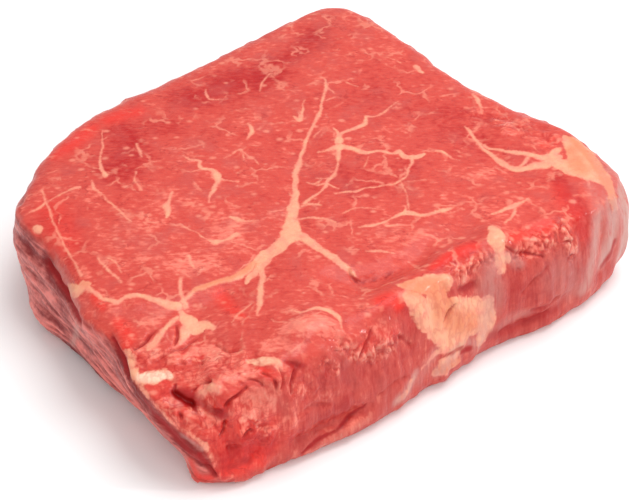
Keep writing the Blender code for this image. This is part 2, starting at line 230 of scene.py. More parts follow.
# Patches: points in space in mm, each with the patch's half width there.
PATCHES = (
    # at the torn corner
    ((-52.5, -14, 29, 0.9), (-53, -17.5, 29, 2.3), (-53, -20, 29, 2.5), (-51, -21.5, 29, 1.5),
     (-50.5, -24, 29, 0.8)),
    ((-54.5, -18.5, 29, 1.4), (-56.5, -19.5, 28.5, 1.3), (-59.5, -21, 28, 0.5)),
    ((-54, -14.5, 29, 0.5), (-59, -15, 29, 0.8), (-62.5, -16, 28, 0.9), (-65.5, -16, 27.5, 1.1)),
    ((-73.5, -20.5, 24.5, 1.4), (-71, -23, 25, 2), (-68.5, -25, 25.5, 1.6), (-68, -27, 25.5, 0.8)),
    ((-70, -13, 26.5, 0.9), (-71.5, -15.5, 25.5, 1.4), (-73, -18, 25, 1.4), (-74, -20.5, 24.5, 1.2)),
    ((-70, -12, 26.5, 0.4), (-74, -19.5, 24.5, 0.7), (-75.5, -25.5, 23.5, 0.6), (-76, -30.5, 22, 0.5)),
    ((-76, -30.5, 22, 0.5), (-75, -35.5, 19, 0.6), (-73.5, -39.5, 17.5, 0.6), (-71, -42.5, 14, 0.5),
     (-70.5, -44, 10, 0.3)),
    # painted light: fat colour on the shaded lobe beside the slit, lifting it to the paleness of a lit lobe
    ((-67, -36.5, 26, 0.6), (-65.5, -38.5, 28, 1.1), (-65.5, -41, 29, 0.6)),
    ((-53.5, -40.5, 30.5, 0.9), (-51.5, -42.5, 31, 1.6), (-49.5, -45.5, 31.5, 1.3), (-50, -48, 31, 0.9)),
    # down the front wall
    ((-8, -49, 33, 0.8), (-5.5, -51.5, 33, 2), (-1.5, -53.5, 32, 2.9), (3.5, -55, 30.5, 2.3)),
    ((-8.5, -53, 32, 1.8), (-7, -55, 28.5, 2.8), (-5.5, -57, 23.5, 2.8), (-3.5, -58, 20, 2.4),
     (-1, -58.5, 16, 2.2)),
    ((-1, -55.5, 28.5, 3.6), (0, -56.5, 24, 4), (1, -57.5, 18.5, 4), (2.5, -58.5, 14, 3.4)),
    ((3, -57.5, 24, 3.2), (8, -59, 21, 3.3), (12.5, -58.5, 18.5, 3.2)),
    ((5, -59, 17, 3.6), (9, -59.5, 15.5, 3.8), (13.5, -59.5, 14, 3.2)),
    ((16, -59, 19, 1.6), (15.5, -59.5, 13, 2.8), (13, -60, 8.5, 2.4)),
    ((6, -59.5, 12, 2.8), (2.5, -59.5, 9.5, 2.6), (-1.5, -59.5, 8, 2.2)),
    ((6, -59.5, 12.5, 2.2), (2.5, -59, 11, 1.6), (-1, -59, 13, 1.2), (-5, -58.5, 12, 0.6),
     (-9, -58.5, 10.5, 0.4)),
    ((-12.5, -58.5, 9.5, 0.8), (-14.5, -59, 7.5, 1.2), (-17.5, -59, 6, 0.9)),
    ((-4, -59.5, 6.5, 1.3), (-0.5, -59.5, 6.5, 1.8), (3.5, -59.5, 6, 1.3)),
    # the knob at the rim
    ((25.5, -51.5, 34.5, 1.7), (24.5, -53.5, 34.5, 2.5), (23, -55, 33.5, 2.3), (22.5, -56.5, 31.5, 1.6),
     (22, -57.5, 29.5, 1.6)),
    ((22, -57, 30, 1.7), (23.5, -58, 28.5, 1.4)),
    ((22, -57.5, 29.5, 1.7), (21.5, -58.5, 26.5, 1.3)),
    # the right corner
    ((70.5, -38, 32.5, 1.4), (68, -43, 32.5, 2.4), (65.5, -46.5, 32.5, 2.9), (62.5, -50, 32, 2.7),
     (60, -48, 32.5, 1.6)),
    ((72, -40, 32, 1.7), (70.5, -45, 32, 2.4), (68.5, -49, 32, 2.6), (66, -53, 32, 2.4),
     (65.5, -56.5, 31.5, 1.5)),
    ((60, -42.5, 32.5, 1.7), (61, -46.5, 32.5, 2.3), (61.5, -50.5, 32, 2.2), (64, -57, 31.5, 1.6)),
    ((71, -47, 32, 1.4), (67, -53.5, 32, 1.8), (65, -58, 31, 1.8), (63.5, -61.5, 29.5, 1.6),
     (62.5, -63, 26.5, 1.2)),
    ((64.5, -57, 31.5, 1.4), (64, -60.5, 30.5, 1.7), (62.5, -62, 28.5, 1.6), (61.5, -63, 26.5, 0.9)),
    # the left rim, and a round spot
    ((-64, 16.5, 26.5, 1.5), (-64.5, 12.5, 28, 1.6), (-62, 11.5, 30, 0.9)),
    ((-57.5, 37, 31, 1.45), (-57.5, 36.9, 31, 1.45)),
)
WANDER = (3.2, 0.55)  # mm, how large and how far the strands' wriggles are
RAGGED = (1.8, 0.12, 0.13)  # mm, the notches along the fat's edges: size, depth, and more depth for wide fat
STRAND_BOTTOM = 25.0  # mm above the table, where the strands have ended on the walls
FAT_REACH = 5.0  # mm, how far from a stroke its fat is looked for
FAR_FROM_FAT = -4.0  # mm, the depth given to all lean farther off


def inside_fat(places):
    """How deep each place lies inside the fat, in mm, and how wide the fat is there.

    Below zero it is lean, that far from the fat.
    """
    size, reach = WANDER
    moved = places.copy()
    moved[:, 0] += reach * rough(places, size)
    moved[:, 1] += reach * rough(places, size, other=50.0)
    size, notch, more_notch = RAGGED
    notches = rough(places, size)
    depth = np.full(len(places), FAR_FROM_FAT)
    widest = np.zeros(len(places))
    for strokes, lowest in ((STRANDS, STRAND_BOTTOM), (PATCHES, 0.0)):
        for stroke in strokes:
            near, distance, width = by_stroke(moved, stroke, FAT_REACH)
            inside = width + (notch + more_notch * width) * notches[near] - distance
            inside[places[near, 2] < lowest] = FAR_FROM_FAT
            better = inside > depth[near]
            depth[near[better]] = inside[better]
            widest[near[better]] = width[better]
    return depth, widest


# The relief. The front left corner is torn into lumps with an open slit between them, a long fold runs along
# the foot of the front wall, the rim is torn into wet clumps, and the walls show the muscles' sides.
# Creases: depth in mm, then points in space in mm, each with the crease's half width there.
TORN_CREASES = (
    # the slit and the nick beside it
    (1.3, (-70.5, -30.5, 24.5, 0.9), (-69.5, -32.5, 23, 1.6), (-68.5, -35, 22.5, 1.5), (-66.5, -36, 21, 1)),
    (0.8, (-66.5, -36, 21, 1), (-66, -39.5, 22, 0.8), (-66.5, -43.5, 23.5, 1.2)),
    (1.2, (-73, -35, 23.5, 0.8), (-74, -37, 21, 1.1)),
    (0.9, (-70.5, -30.5, 24.5, 0.7), (-69, -29.5, 25.5, 0.8)),
    (0.9, (-68.5, -35, 22.5, 1), (-69.5, -37.5, 21, 0.8)),
    # creases between the torn lumps
    (1, (-66.5, -43.5, 23.5, 0.9), (-64, -44, 26, 0.9), (-61.5, -44.5, 27, 0.8), (-59, -45, 27.5, 0.6)),
    (0.9, (-66, -44.5, 20.5, 0.8), (-66, -44, 17.5, 0.8), (-67.5, -43.5, 16, 0.6)),
    (0.8, (-63.5, -48, 14.5, 0.6), (-62, -48, 16, 0.8), (-60.5, -49, 16.5, 0.7)),
    (0.9, (-68.5, -13.5, 27, 0.8), (-65.5, -14, 28, 0.9), (-62.5, -13.5, 28.5, 0.8), (-59, -14, 29, 0.6)),
    (0.8, (-61, -20.5, 28, 0.7), (-58.5, -19, 28.5, 0.8), (-56.5, -16.5, 29, 0.6)),
    (0.7, (-66, -20.5, 27, 0.6), (-62.5, -21.5, 27.5, 0.8), (-59, -22.5, 27.5, 0.8),
     (-54.5, -23, 27.5, 0.6)),
    (0.8, (-67.5, -34, 25.5, 0.6), (-65, -35, 26.5, 0.8), (-64, -37.5, 30, 0.6)),
    (0.9, (-54, -45.5, 30, 0.7), (-53.5, -48.5, 29.5, 0.9), (-53, -49.5, 27.5, 0.8), (-54, -50.5, 25, 0.6)),
    (0.6, (-66.5, -45.5, 12.5, 0.8), (-64, -47.5, 13, 0.8)),
    (0.7, (-59.5, -43.5, 28.5, 0.6), (-57, -44.5, 29, 0.7), (-55.5, -47, 28, 0.7)),
    (0.6, (-54, -28.5, 28.5, 0.6), (-54, -33, 29, 0.7), (-52, -35.5, 30, 0.6)),
    (0.6, (-60, -29, 27.5, 0.6), (-61, -32.5, 28, 0.7), (-60, -36, 29, 0.6)),
    (0.6, (-70.5, -22.5, 26, 0.6), (-66, -23.5, 27, 0.7), (-63, -26.5, 27, 0.6), (-62.5, -29.5, 27.5, 0.5)),
    (0.7, (-58, -50, 20, 0.6), (-57, -50.5, 17, 0.8), (-58.5, -50, 14.5, 0.6)),
    (1, (-46.5, -48, 31, 1.2), (-45.5, -49.5, 29.5, 1.5), (-48, -50.5, 27.5, 1), (-49.5, -51.5, 24, 0.8)),
    (0.7, (-50, -47.5, 31.5, 0.8), (-50.5, -50, 29, 0.9), (-52, -50.5, 26, 0.7)),
)
OTHER_CREASES = (
    # the crevice in the cut face
    (0.9, (-12.5, -35, 33, 0.6), (-13.5, -37.5, 32, 0.9), (-12.5, -39.5, 31.5, 1), (-8.5, -41.5, 31, 1)),
    (0.9, (-8.5, -41.5, 31, 1), (-3.5, -43.5, 31.5, 1), (0.5, -43.5, 31, 0.5)),
    # the front wall: the long fold at its foot, and folds between the fat and the muscles
    (0.5, (-48, -53.5, 3.5, 0.8), (-43, -54, 5, 0.9), (-37.5, -55.5, 5.5, 0.9), (-33, -55.5, 7, 0.9),
     (-28, -56.5, 9, 0.7)),
    (0.5, (-50, -51.5, 17, 1.2), (-45, -53, 17.5, 1.5), (-39.5, -54.5, 15.5, 1.2)),
    (0.6, (-14, -58, 11.5, 0.6), (-17.5, -58.5, 12.5, 0.8), (-21.5, -58.5, 12, 0.8), (-25, -58, 10.5, 0.6)),
    (0.7, (-1.5, -58.5, 21.5, 0.8), (0.5, -57.5, 21, 0.9), (2.5, -57.5, 23, 0.8), (5, -58, 25, 0.6)),
    (0.8, (19.5, -61, 6.5, 1.4), (26, -61, 5.5, 1.8), (31, -63, 6, 1.4), (36, -63.5, 7.5, 0.8)),
    (0.6, (33, -63, 8, 0.7), (36.5, -63.5, 9, 0.9), (40, -64.5, 10, 0.6)),
    (0.8, (24.5, -57, 32.5, 0.6), (26.5, -58, 29.5, 0.8), (31, -60, 27, 0.8), (34.5, -62.5, 25, 0.6)),
    (0.6, (26.5, -62, 17.5, 0.7), (30.5, -63, 20, 0.9), (35, -63, 22.5, 0.6)),
    (0.6, (29.5, -63.5, 9.5, 0.8), (35, -64, 9.5, 1.1), (38.5, -65.5, 11, 0.8)),
    (0.6, (26, -60, 25, 1), (28, -60.5, 22.5, 1)),
    (0.9, (7.5, -56.5, 26.5, 2.2), (12.5, -57, 25, 2.4)),
    (0.8, (-28, -54.5, 24.5, 1), (-25.5, -54, 26, 1.1), (-22.5, -53, 29, 0.8)),
    (0.7, (-14.5, -55.5, 24, 1.1), (-11.5, -57, 19.5, 1.1)),
    # the left wall: hollows under its rim, and the gap over the loose tab at its foot
    (1.3, (-61, 29, 26, 1.5), (-62.5, 23.5, 25, 1.8), (-64.5, 18.5, 24.5, 1.6), (-66.5, 14, 24, 1.9),
     (-69, 7, 23.5, 1.5)),
    (1.1, (-69.5, -6, 26.5, 1.4), (-71, -10, 25, 1.6), (-72.5, -15, 23.5, 1.4), (-74, -19, 23, 0.9)),
    (1.2, (-74.5, -40.5, 12, 0.8), (-72.5, -43.5, 9, 1.1), (-70.5, -45, 5, 1)),
)
CREASE_BEND = 0.3  # how much of the lumps' wriggles the creases follow
DARKEST_CREASE = 1.2  # mm, the depth from which a crease is painted at its darkest, blood red with painted shade
# Brush strokes, in this table and those below: strength, then points in mm, each with its half width.
TORN = (
    (1, (-71, -14, 27, 9), (-67, -22, 27, 11), (-60, -32, 29, 12), (-53, -41, 30, 9)),
    (1, (-73, -32, 21, 11), (-66, -43, 18, 15), (-58, -49, 14, 12), (-66, -43, 6, 12)),
    (0.6, (-50, -47, 29, 8), (-47, -50, 22, 8), (-50, -51, 12, 8)),
    (0.35, (-52, -28, 31, 12), (-42, -38, 32, 11)),
    (0.9, (60, -11, 32.5, 6), (63, -20, 32.5, 9), (64, -28, 32.5, 9), (67, -34, 32.5, 6)),
)
LUMPS = (
    # size and height in mm, how much paler their tops are, how darkly their clefts are painted red as blood
    # and painted shade
    (6.5, 1.3, 0.85, 0.4),
    (2.8, 0.5, 0.5, 0.25),
)
LUMP_MEAN = 0.33  # where on a lump its tone stays as it is
WET_CLUMPS = (
    (1, (-26, -55, 24, 4), (-22, -55.5, 23.5, 4.5), (-16.5, -56, 23.5, 4.5)),
    (0.8, (-32, -51.5, 29, 3.5), (-30, -53.5, 26, 4), (-27.5, -53.5, 26, 3.5)),
    (0.8, (-38, -52, 27, 3.5), (-35.5, -53.5, 24.5, 3.5)),
    (1, (25.5, -58.5, 28.5, 3), (30, -59.5, 28.5, 4.5), (35.5, -60.5, 28.5, 4.5), (40, -61.5, 28, 4)),
    (1, (42.5, -61, 30, 4), (43, -63, 26.5, 4.5), (43.5, -64, 22, 4)),
    (0.9, (8, -53.5, 33, 3.5), (9.5, -56, 29.5, 3.5), (14.5, -55.5, 31, 4), (18, -56, 30, 4)),
    (0.5, (-61, -48, 17, 5), (-56, -51, 13, 5)),
    (0.5, (-45, -52, 24, 6), (-40, -53.5, 18, 6)),
)
CLUMPS = ((2.8, 2.3), (1.3, 0.5))  # mm, size and height
CLUMP_UPRIGHT = (1.0, 1.0, 1.6)
CLUMP_HIGHLIGHT = 1.9  # how much paler their tops and darker their clefts are painted: painted highlight and painted shade
CLUMP_MEAN = 0.36
TOP_RISE = 2.4  # how fast the tone goes from a lump's cleft to its top
CLEFT = 0.22  # the share of a lump's height that its cleft lies below the surface
CLEFT_WIDTH = 0.09
PUSHED_OUT = (4.0, 1.6)  # mm, size and reach of the waves that bend the lumps outwards
PUSHED_ASIDE = (3.0, 1.2)  # mm, the same along it
FLUTES = ((2.4, 0.6), (6.5, 0.7))  # mm, width and depth of the upright flutes of the walls
FLUTE_UPRIGHT = (1.0, 1.0, 8.0)
RIPPLES = ((2.4, 0.75), (1.1, 0.4))  # mm, width and depth of the left wall's long bands
RIPPLE_ALONG = (3.0, 13.0, 1.0)
RIPPLE_FALL = (5.0, 0.45)  # mm along Y, where the bands start to fall, and how steeply
RIPPLE_WAVES = (7.0, 1.2)  # mm, size and height of their waves
RIM_BUMPS = ((5.0, 0.8), (2.4, 0.35))  # mm, size and height of the rim's unevenness
UNEVEN = ((11.0, 0.4), (3.6, 0.16))  # mm, size and height of the swellings all over
FAT_SWELL = 0.15  # mm, how far a broad patch of fat stands up
FAT_SLOPE = 1.5  # mm in from its edge, where it stands up fully
FAT_CRUMPLE = (2.6, 0.55)  # mm, size and height of the lumps of the fat on the walls
FAT_BULGE = 0.3  # the share of that height by which it all stands out
FAT_CALM = 0.3  # the share of the lean's lumps that is left in fat
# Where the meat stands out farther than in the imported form: how far in mm, then points as above.
FULLER = (
    (1.2, (70, -61, 20, 9), (68, -62, 10, 8)),
    (1.2, (-63, 36, 7, 9), (-62, 30, 6, 8)),
    (0.8, (0, -59, 3, 7), (8, -60, 4, 7)),
    (0.5, (-14, -44, 33, 4.5), (-3, -48, 33, 4.5), (8, -48.5, 33, 4), (16, -49.5, 33, 3.5)),
    (0.8, (-39, -42, 33, 5.5), (-34, -44.5, 34, 6), (-31, -48, 33, 4)),
)
# The edge between the cut corner and the left wall: places along Y and its height there, in mm.
LEFT_EDGE = (
    (-46, 0), (-45.5, 4), (-44, 9.5), (-42.5, 13.5), (-39.5, 16), (-35.5, 18), (-32, 20.5), (-27.5, 22.5),
    (-23.5, 23.5), (-18.5, 24), (-14, 25), (-4.5, 25.5), (7, 24.5), (19, 25), (26, 27), (33.5, 29), (47, 30),
)
LEFT_EDGE_BLUR = 1.6  # mm, how softly the left wall ends at that edge
LEFT_WALL_END = (-51.0, -42.0)  # mm, where along X the left wall turns into the back wall
CUT_SLOPE = (0.35, 0.75)  # how far up it faces where the cut face begins, and where it is whole
UNDERSIDE = -0.6  # what faces down more than this is the underside, and stays flat
# Where the skin is made finer: on the walls that are seen, near the fat and where the meat is torn.
SEEN_FRONT = -49.0  # mm along Y, the front wall lies before it
SEEN_LEFT = (-55.0, 52.0)  # mm along X and Y, the left wall lies left of the first and before the second
SEEN_ABOVE = 0.8  # mm above the table
NEAR_FAT = (-0.9, 24.0)  # mm, the least depth in the fat, and the least height above the table
FAT_EDGE = (0.4, 27.0)  # mm, how near the fat's edge the skin is finer still, and the least height


def finer(shape, wanted):
    """Halves the squares that have a vertex where it is wanted."""
    shape.verts.ensure_lookup_table()
    faces = {face for i in np.flatnonzero(wanted) for face in shape.verts[i].link_faces}
    edges = list({edge for face in faces for edge in face.edges})
    bmesh.ops.subdivide_edges(shape, edges=edges, cuts=1, use_grid_fill=True, use_single_edge=True)
    shape.normal_update()
    shape.verts.index_update()


skin.normal_update()
places = places_of(skin)
seen_wall = (places[:, 1] < SEEN_FRONT) | ((places[:, 0] < SEEN_LEFT[0]) & (places[:, 1] < SEEN_LEFT[1]))
seen_wall &= places[:, 2] > SEEN_ABOVE
near_fat = (inside_fat(places)[0] > NEAR_FAT[0]) & (places[:, 2] > NEAR_FAT[1])
finer(skin, near_fat | (painted(places, TORN) > 0.1) | seen_wall)
places = places_of(skin)
strand_edge = (np.abs(inside_fat(places)[0]) < FAT_EDGE[0]) & (places[:, 2] > FAT_EDGE[1])
finer(skin, strand_edge | (painted(places, WET_CLUMPS) > 0.3) | (painted(places, TORN_CREASES) > 0.25))

places = places_of(skin)
normals = np.array([v.normal for v in skin.verts])
edge_height = np.interp(places[:, 1], *zip(*LEFT_EDGE))
left_side = np.clip((edge_height - places[:, 2]) / LEFT_EDGE_BLUR + 0.5, 0.0, 1.0) * (normals[:, 0] < 0.1)
whole, over = LEFT_WALL_END
left_side *= np.clip((over - places[:, 0]) / (over - whole), 0.0, 1.0)
low, high = CUT_SLOPE
cut_face = np.clip((normals[:, 2] - low) / (high - low), 0.0, 1.0) * (1.0 - left_side)
wall = (1.0 - cut_face) * (normals[:, 2] > UNDERSIDE)
front = wall * (1.0 - left_side)
rim = 4.0 * cut_face * (1.0 - cut_face)
fat, fat_width = inside_fat(places)
lean_only = np.clip(0.5 - fat, FAT_CALM, 1.0)
torn = painted(places, TORN) * (1.0 - left_side)
wet = painted(places, WET_CLUMPS)
size, reach = PUSHED_OUT
pulled = places + reach * rough(places, size)[:, None] * normals
size, reach = PUSHED_ASIDE
pulled += reach * rough(places, size, other=9.0)[:, None]

heights = painted(places, FULLER)
# How dark each crease is painted: blood, with painted shade that deepens with the crease's depth.
crease_blood_and_shade = np.zeros(len(places))
for depth, *stroke in TORN_CREASES + OTHER_CREASES:
    cut = painted(pulled * CREASE_BEND + places * (1.0 - CREASE_BEND), ((1.0, *stroke),))
    heights -= depth * cut
    crease_blood_and_shade = np.maximum(crease_blood_and_shade, cut * min(1.0, depth / DARKEST_CREASE))
# Tone from the lumps: the torn lumps' own paler tops, and on the wet clumps painted highlights on the tops and
# painted shade in the clefts.
lump_tone_and_painted_light = np.zeros(len(places))
for number, (size, height, paler, cleft_shade) in enumerate(LUMPS):
    lumps = np.abs(rough(pulled, size, other=20.0 * number))
    heights += height * torn * lean_only * (lumps - CLEFT)
    lump_tone_and_painted_light += paler * torn * (np.clip(TOP_RISE * lumps, 0.0, 1.0) - LUMP_MEAN)
    crease_blood_and_shade = np.maximum(crease_blood_and_shade, cleft_shade * falloff(lumps, CLEFT_WIDTH) * torn)
for size, height in CLUMPS:
    lumps = np.abs(rough(pulled, size, CLUMP_UPRIGHT, other=5.0))
    heights += height * wet * lean_only * (lumps - CLEFT)
    lump_tone_and_painted_light += CLUMP_HIGHLIGHT * wet * (np.clip(TOP_RISE * lumps, 0.0, 1.0) - CLUMP_MEAN)
for width, depth in FLUTES:
    heights += depth * front * rough(places, width, FLUTE_UPRIGHT, other=3.0)
falling = places.copy()
start, fall = RIPPLE_FALL
size, height = RIPPLE_WAVES
falling[:, 2] += fall * np.clip(start - places[:, 1], 0.0, None) + height * rough(places, size, other=40.0)
bands_and_shade = np.zeros(len(places))
for width, depth in RIPPLES:
    band = rough(falling, width, RIPPLE_ALONG, other=7.0)
    heights += depth * left_side * band
    bands_and_shade += band
for size, height in RIM_BUMPS:
    heights += height * rim * lean_only * rough(places, size, other=60.0)
for size, height in UNEVEN:
    heights += height * rough(places, size)
thick_fat = np.clip(fat / FAT_SLOPE, 0.0, 1.0)
heights += FAT_SWELL * thick_fat
size, height = FAT_CRUMPLE
heights += height * front * thick_fat * (FAT_BULGE + rough(places, size, other=70.0))
heights *= normals[:, 2] > UNDERSIDE
for vertex, height in zip(skin.verts, heights):
    vertex.co += vertex.normal * float(height) * MM
    vertex.co.z = max(vertex.co.z, 0.0)
skin.to_mesh(beef.data)
skin.free()

# The silverskin, the blood and the painted shade. A thin pale violet membrane covers the right end of the
# front wall and lies in bands along the left wall. Blood gathers in the slit and the creases; their darkening
# there is blood and painted shade.
SILVERSKIN = (
    (0.75, (60, -56, 31.5, 3), (57, -61, 29.5, 4), (55, -63.5, 25, 4.5), (52.5, -65, 18.5, 4.5),
     (48, -66, 8, 4)),
    (0.95, (61, -60, 29, 4), (61.5, -63.5, 24, 5), (60, -64.5, 18, 5), (56, -65.5, 12.5, 4)),
    (1.1, (70, -55, 31, 5), (67.5, -61, 26.5, 6), (67, -62, 17, 6), (64, -63, 10, 5)),
    (0.3, (38, -62, 18, 11), (46, -65, 12, 11)),
    (0.5, (20, -57, 30, 4.5), (17.5, -58.5, 24, 6), (17, -59, 17.5, 6), (14.5, -59.5, 12, 5),
     (11, -60, 7, 4)),
    (0.45, (24, -58, 29, 3), (27, -59.5, 26, 3)),
    (0.6, (11, -60, 8, 3.5), (6, -59.5, 9.5, 3.5), (1.5, -59, 8.5, 3.5), (-3.5, -59.5, 6.5, 3)),
    (0.7, (-11, -58.5, 10.5, 2), (-14.5, -59, 7.5, 3.2), (-18.5, -59, 5.5, 2.8)),
    (0.3, (-3.5, -58.5, 13.5, 3), (-6.5, -58.5, 10.5, 4), (-10, -59, 8, 4)),
    (0.35, (17.5, -60.5, 8.5, 4), (22, -61.5, 9, 4), (28, -62, 9, 3.5)),
    (0.7, (71, -49, 32, 3.5), (67, -54.5, 32, 4), (63.5, -60, 30, 4.5), (62.5, -63, 27, 4)),
    (0.6, (72, -50, 24, 7), (73, -44, 14, 8)),
    (0.5, (66, -57.5, 31.5, 2), (64, -60.5, 30, 3), (62.5, -63, 27, 3)),
    (0.7, (-69, 7.5, 24, 1.4), (-66.5, 12.5, 15, 1.8), (-65, 17, 6, 1.8)),
    (0.4, (-61, 26, 27.5, 1.6), (-63, 20, 27, 1.6), (-65, 14, 26.5, 1.8), (-67, 9, 26, 1.6)),
    (0.5, (-74.5, -37, 16.5, 1), (-74, -40, 16, 1.2), (-72, -42, 13.5, 1)),
)
# Blood in the slit and along the creases; its darkness there is partly painted shade.
BLOOD_AND_SHADE = (
    (1.3, (-70.5, -30.5, 24.5, 1.5), (-69.5, -32.5, 23, 2.3), (-68.5, -35, 22.5, 2.2),
     (-66.5, -36, 21, 1.6)),
    (0.75, (-66.5, -36, 21, 1.4), (-66, -39.5, 22, 1.2), (-66.5, -43.5, 23.5, 1.8)),
    (0.6, (-70.5, -31, 25.5, 3), (-68.5, -34, 24, 3.4), (-66, -38, 22.5, 3), (-66, -44, 22, 2.8)),
    (1, (-70.5, -30.5, 24.5, 1.2), (-69, -29.5, 25.5, 1)),
    (1, (-68.5, -35, 22.5, 1.6), (-69.5, -37.5, 21, 1.2)),
    (0.7, (-73, -35, 23.5, 1.1), (-74, -37, 21.5, 1.5)),
    (0.75, (-48, -53.5, 3.5, 0.9), (-43, -54, 5, 1.1), (-37.5, -55.5, 5.5, 1.1), (-33, -55.5, 7, 1.1),
     (-28, -56.5, 9, 0.8)),
    (0.3, (-50, -52.5, 6.5, 2.5), (-46.5, -52, 7.5, 3), (-42.5, -53, 7.5, 2.8), (-39, -54, 7.5, 2)),
    (0.5, (-47.5, -47, 31, 1.2), (-46.5, -49, 30, 1.8), (-44, -50.5, 29, 1.6)),
    (0.6, (-2.5, -59.5, 11, 0.8), (2.5, -59, 9.5, 1.1), (6, -59.5, 9.5, 1.1)),
    (0.7, (5.5, -60, 8, 1.4), (8.5, -59.5, 7.5, 1.8)),
    (0.75, (-73, -42, 12, 1.4), (-72, -43.5, 9, 1.5), (-70.5, -45, 5, 1.4)),
    (0.5, (-75.5, -25, 21, 1.6), (-75.5, -32, 18, 2.4), (-74.5, -37, 14.5, 2.6), (-72.5, -42, 10, 2.2)),
    (0.5, (61.5, -64.5, 16.5, 1.4), (59, -65, 13, 1.8), (56, -65.5, 11, 1.8)),
    (0.45, (-64, -48.5, 8.5, 2.2), (-62.5, -49.5, 7.5, 2.2)),
    (0.3, (-66, -46.5, 12, 3.5), (-62, -48.5, 14.5, 4.5), (-56, -51, 11, 4.5)),
    (0.3, (65.5, -37, 32.5, 1.6), (68, -36.5, 32.5, 1.2)),
    (0.35, (-69, -46, 7.5, 1.6), (-66.5, -47.5, 7.5, 1.8), (-63, -49, 8, 1.8)),
    (0.45, (7.5, -56.5, 26.5, 2.2), (12.5, -57, 25, 2.4)),
    (0.4, (-13, -36, 32, 0.8), (-12.5, -39.5, 31.5, 1), (-8.5, -41.5, 31, 1.2), (-3, -43.5, 31.5, 0.8)),
    (0.35, (16, -60.5, 8, 3), (21.5, -61, 6, 3.5), (30, -63, 6, 3.5), (38, -64.5, 6, 2.5)),
)
# Bright fresh red, where the lean is newly cut, and on the thin back rim a painted glow of light through the
# edge.
FLUSH_AND_RIM_GLOW = (
    # along the back rim: a painted glow of light shining through the thin edge
    (0.9, (-35, 57, 32.5, 3.5), (-29.5, 57, 32.5, 5), (-26, 57.5, 32, 5), (-19.5, 59, 32, 4)),
    (0.8, (-13.5, 58.5, 32, 4), (-9.5, 57, 32.5, 5), (-5.5, 55, 32.5, 4)),
    (0.9, (-15.5, -49.5, 33, 3.5), (-13, -51, 33, 3.5), (-12.5, -53, 31, 2.5)),
    (0.3, (-12.5, -53.5, 29.5, 3.5), (-10.5, -56, 25, 3)),
    (0.5, (-15.5, -55, 26, 4), (-22.5, -54.5, 26.5, 4), (-26, -54, 25.5, 4)),
    (0.9, (3, -50.5, 33.5, 2), (9.5, -50.5, 33.5, 3), (14, -51.5, 33.5, 3), (18, -52.5, 33.5, 2)),
    (0.8, (28, -55.5, 32, 2.5), (34.5, -57, 31, 3), (40, -58.5, 31, 3)),
    (0.4, (53, -51, 32, 4), (49.5, -56, 31.5, 5), (48.5, -61, 30.5, 5), (49.5, -63, 25, 4)),
    (0.9, (-65.5, -4, 28.5, 2.5), (-67, -9.5, 28, 3.5), (-69, -11, 27, 2)),
    (1, (64, -36, 32.5, 2.6), (66.5, -37, 32.5, 2.4), (68.5, -36.5, 32.5, 1.8)),
    (0.9, (-70, -45, 6, 3), (-66.5, -47.5, 6.5, 4.5), (-60, -50, 6.5, 4)),
    (0.8, (-64, 7, 29.5, 2.2), (-65, 2.5, 29, 2.2)),
    (0.8, (-53.5, -44.5, 30.5, 1.8), (-53, -48, 30.5, 2.2)),
    (0.8, (-41.5, -16.5, 30.5, 3), (-43, -22.5, 30.5, 3), (-44, -28, 31, 2)),
    (1, (-74.5, -39.5, 8, 3), (-73.5, -41, 4, 4), (-71.5, -43.5, 3.5, 4)),
    (0.6, (-58, -30, 28, 2.5), (-62, -24, 27.5, 2)),
    (0.45, (-71, -26, 25.5, 8), (-67, -36, 23, 11), (-65, -44, 17, 12), (-58, -49.5, 12, 12)),
    (0.5, (-50, 40, 31, 7), (-56, 26, 30, 6)),
    (0.5, (-70, -30, 25, 2.5), (-72, -33, 24, 2.5)),
)
# Tone of the lean: deep red places and pale pink ones.
DEEP = (
    (1, (-14, 50, 33, 10), (-20.5, 44, 33, 12), (-27, 38, 33, 11)),
    (0.8, (-8, 49, 33, 9), (-4, 42, 33, 8)),
    (1.1, (8, 50, 33, 10), (22, 46, 33, 12), (34, 40, 33, 10)),
    (0.9, (34, 44, 33, 9), (47, 44, 33, 9), (58, 47, 32, 7)),
    (0.8, (3, -51, 33.5, 3), (11, -51.5, 33.5, 3.5), (18, -52.5, 33, 3)),
    (0.5, (8, -4, 34, 8), (16, -14, 34, 10), (28, -18, 34, 10)),
    (0.45, (45, 15, 34, 16), (52, -5, 34, 16), (48, -22, 34, 14)),
    (0.4, (-50, 40, 33, 9), (-56, 24, 31, 7)),
    (0.8, (-16, -52, 32, 4), (-12, -54, 29, 4.5), (-11, -56, 24, 4)),
    (1.2, (56, -48, 33, 3.5), (52.5, -54, 32.5, 5), (50.5, -59, 31, 6), (49, -63, 27, 6), (49, -64, 21, 4)),
    (0.5, (-38, -53, 24, 7), (-28, -56, 18, 8), (-18, -58, 16, 8)),
    (1.3, (-66, -46, 9, 6), (-62, -48, 13, 7), (-57, -50.5, 10, 6)),
    (0.6, (-66, -44, 15, 6), (-60, -48, 14, 7), (-55, -51, 10, 6)),
    (0.5, (-46, -49, 29, 4), (-42, -52, 24, 5)),
    (0.9, (-50, -52, 10, 6), (-43, -54, 12, 7), (-35, -56, 12, 7)),
    (0.9, (26.5, -62, 17.5, 2.4), (30.5, -63, 20, 2.8), (35, -63, 22.5, 2.4)),
    (1, (14, -60, 7, 3), (17.5, -60.5, 7, 3), (23.5, -61, 6, 3)),
    (0.9, (29.5, -63.5, 9.5, 2.5), (35, -64, 9.5, 3.5), (38.5, -65.5, 11, 2.5)),
    (0.9, (9, -16, 34, 2.5), (12, -10, 34, 3), (17, -4, 34, 2.5)),
    (0.9, (22, -60, 20, 9), (34, -63, 16, 12), (44, -65, 16, 10)),
    (0.9, (18, -60, 7, 5), (26, -61, 6, 6), (38, -64, 7, 6)),
    (0.35, (56, -32, 34, 4), (60, -36, 34, 3)),
)
